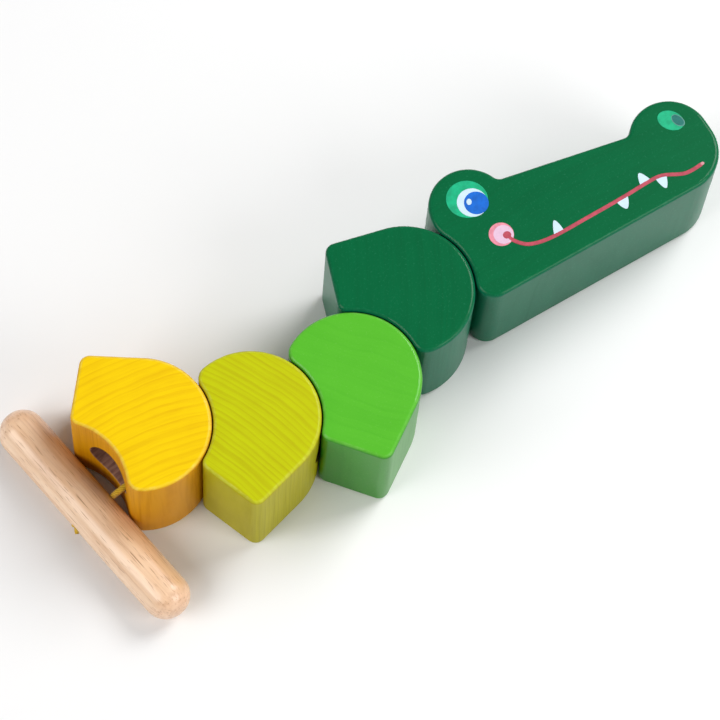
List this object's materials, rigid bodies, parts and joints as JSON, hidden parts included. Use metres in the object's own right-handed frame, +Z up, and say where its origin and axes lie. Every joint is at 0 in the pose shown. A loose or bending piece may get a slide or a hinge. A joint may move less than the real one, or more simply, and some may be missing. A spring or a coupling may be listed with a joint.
{
  "type": "pull-along toy",
  "caption": "Wooden crocodile pull-along and threading toy: long flat head and nesting tail blocks on one captive cord that ends in a crosswise handle rod.",
  "frame": {"origin": "centre of the bounding box at its base, on the flat side that the toy lies on", "axes": "+X along the head's straight jaw edge towards the snout, +Z up out of the toy's flat side, +Y towards the eye"},
  "size_m": [0.2404, 0.083, 0.04],
  "materials": {
    "dark_green_stain": "dark green stain under satin lacquer",
    "green_stain": "green stain under satin lacquer",
    "lime_stain": "lime stain under satin lacquer",
    "yellow_stain": "yellow stain under satin lacquer",
    "natural_beech": "clear satin lacquer",
    "cord": "braided polyester cord"
  },
  "bodies": {
    "head": {"head": "dark_green_stain", "anchor_dowel": "natural_beech", "anchor_knot": "cord"},
    "dark_green_block": {"dark_green_block": "dark_green_stain"},
    "green_block": {"green_block": "green_stain"},
    "lime_block": {"lime_block": "lime_stain"},
    "yellow_block": {"yellow_block": "yellow_stain"},
    "cord_end": {"pull_cord": "cord"},
    "handle": {"handle_rod": "natural_beech", "handle_knot": "cord"}
  },
  "joints": [
    {"name": "dark_green_bend", "type": "hinge", "parent": "head", "child": "dark_green_block", "pos_m": [0.00794, 0.00473, 0], "axis": [0, 0, 1], "range_deg": [-60.2, 10.8], "deforming": ["pull_cord"]},
    {"name": "green_bend", "type": "hinge", "parent": "dark_green_block", "child": "green_block", "pos_m": [-0.02135, -0.01164, 0], "axis": [0, 0, 1], "range_deg": [-2.7, 61.3]},
    {"name": "lime_bend", "type": "hinge", "parent": "green_block", "child": "lime_block", "pos_m": [-0.05456, -0.00691, 0], "axis": [0, 0, 1], "range_deg": [-21.6, 42.4]},
    {"name": "yellow_bend", "type": "hinge", "parent": "lime_block", "child": "yellow_block", "pos_m": [-0.08459, 0.00806, 0], "axis": [0, 0, 1], "range_deg": [-59.5, 4.5]},
    {"name": "handle_pull", "type": "slide", "parent": "yellow_block", "child": "cord_end", "axis": [-0.9877, -0.1564, 0], "range_m": [0, 0.045]},
    {"name": "handle_swivel", "type": "hinge", "parent": "cord_end", "child": "handle", "pos_m": [-0.1067, 0, 0.0075], "axis": [-0.9848, -0.1736, 0], "continuous": true}
  ]
}
